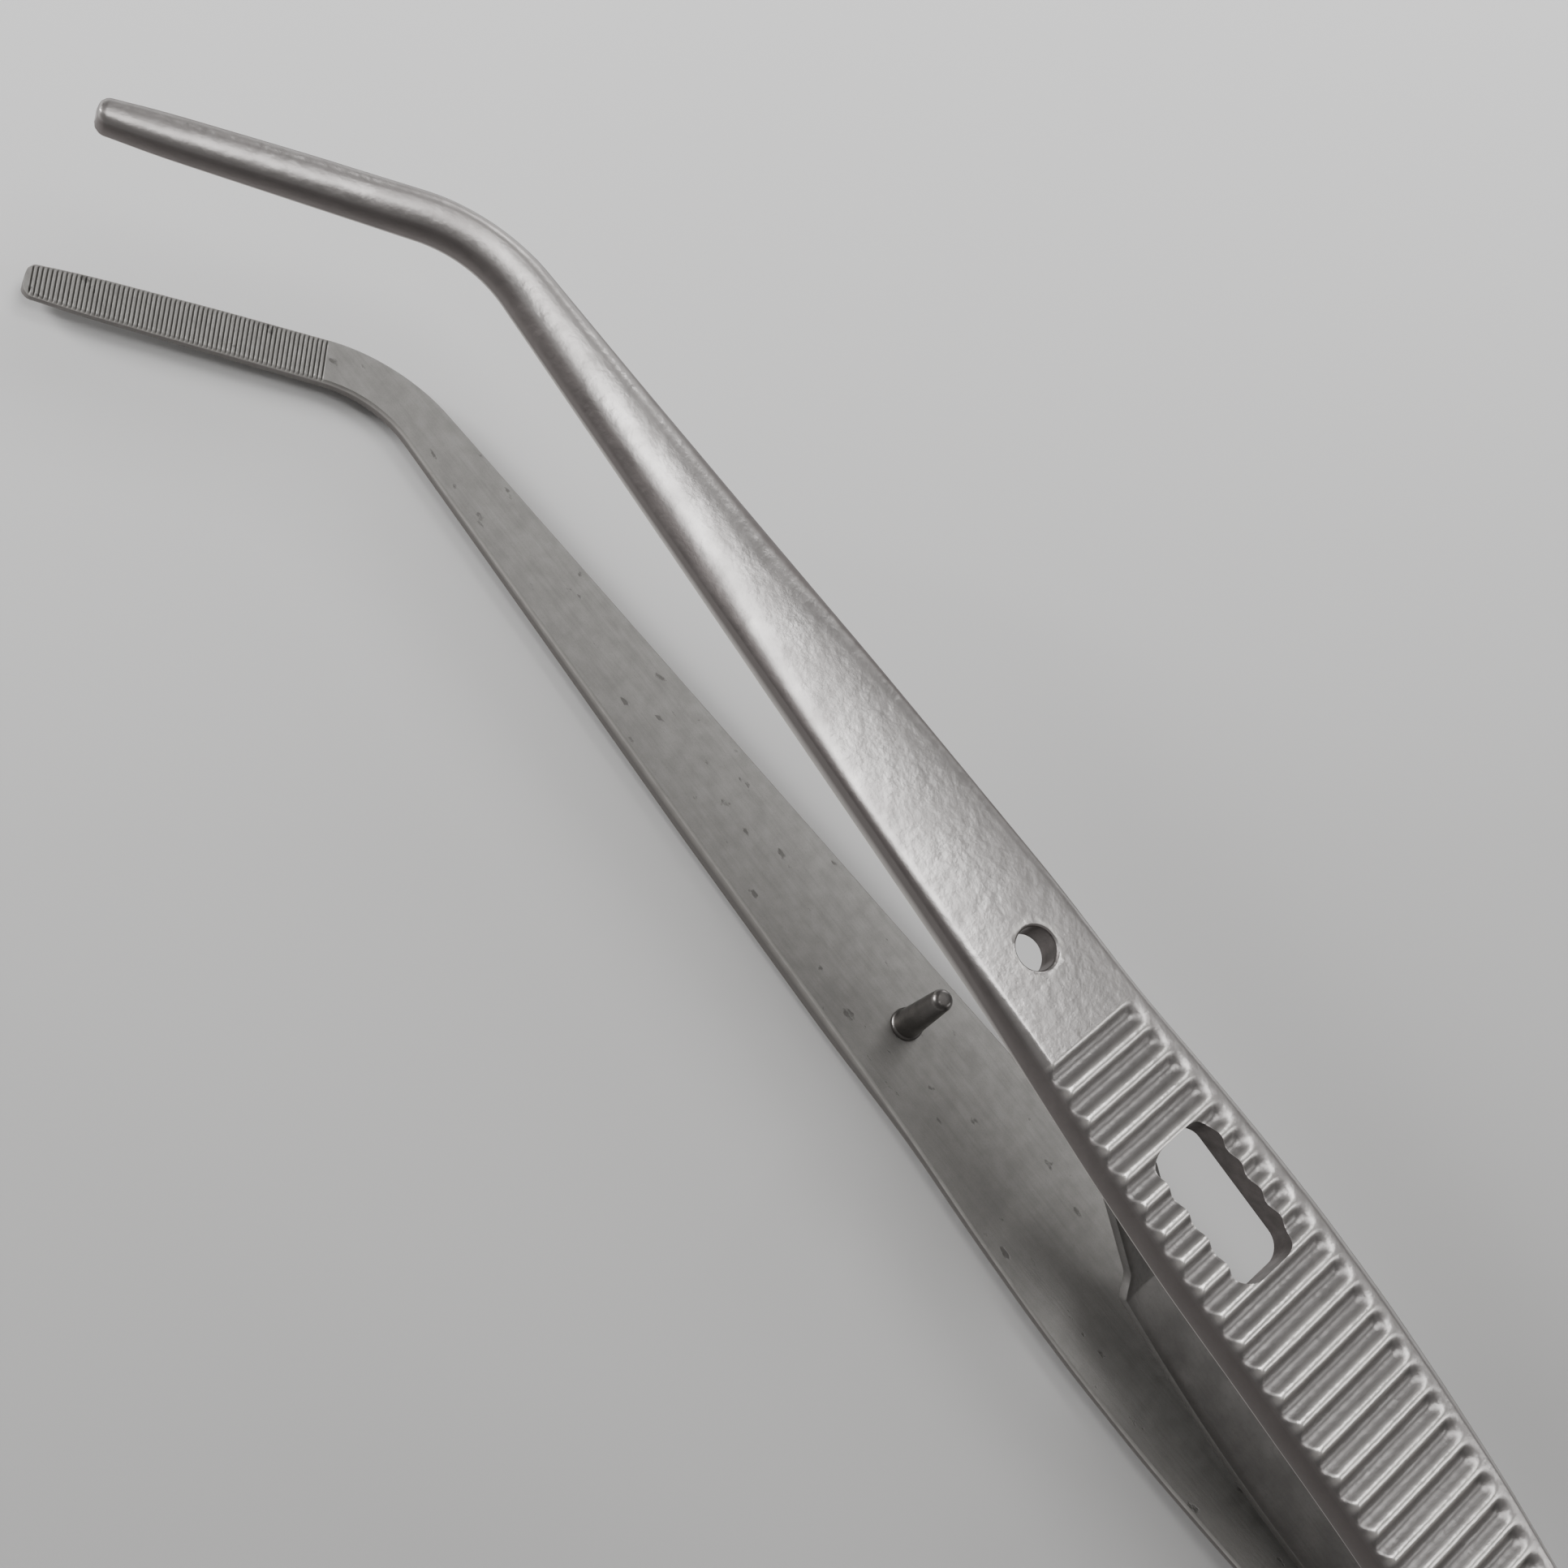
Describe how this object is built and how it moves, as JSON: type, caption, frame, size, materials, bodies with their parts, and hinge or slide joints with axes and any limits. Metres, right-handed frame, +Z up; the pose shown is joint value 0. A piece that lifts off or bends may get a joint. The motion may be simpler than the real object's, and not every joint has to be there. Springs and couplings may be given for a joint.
{
  "type": "locking tweezers",
  "caption": "Angled self-locking tweezers in satin steel: two bowed arms with ridged grips, serrated slanted tips, a guide pin and hole, and a sprung catch under a window.",
  "frame": {"origin": "middle of the flat stretch of the lower arm's ridged outer face, on the surface it lies on", "axes": "+X towards the tips along the lower arm, +Y the side the tips bend to, +Z up from the lower arm to the upper arm"},
  "size_m": [0.1503, 0.0217, 0.0232],
  "materials": {
    "satin_steel": "satin, bead-blasted outside",
    "spring_steel": "matt, darker",
    "pin_steel": "dull turned",
    "weld_steel": "rough, fused"
  },
  "bodies": {
    "lower_arm": {"lower_arm": "satin_steel", "guide_pin": "pin_steel", "catch_foot": "spring_steel", "catch_rivets": "pin_steel", "catch_flexure": "spring_steel", "upper_arm_heel": "satin_steel", "upper_arm_flexure": "satin_steel", "heel_weld": "weld_steel"},
    "upper_arm": {"upper_arm": "satin_steel"},
    "catch_leaf": {"catch_leaf": "spring_steel"}
  },
  "joints": [
    {"name": "arms_close", "type": "hinge", "parent": "lower_arm", "child": "upper_arm", "pos_m": [-0.05396, 0, 0.00912], "axis": [0, 1, 0], "range_deg": [0, 8.25], "stiffness_Nm_per_rad": 1.2, "deforming": ["upper_arm_flexure"]},
    {"name": "catch_flex", "type": "hinge", "parent": "lower_arm", "child": "catch_leaf", "pos_m": [-0.02798, 0, 0.00398], "axis": [0, 1, 0], "range_deg": [-2, 2], "stiffness_Nm_per_rad": 0.15, "deforming": ["catch_flexure"]}
  ]
}
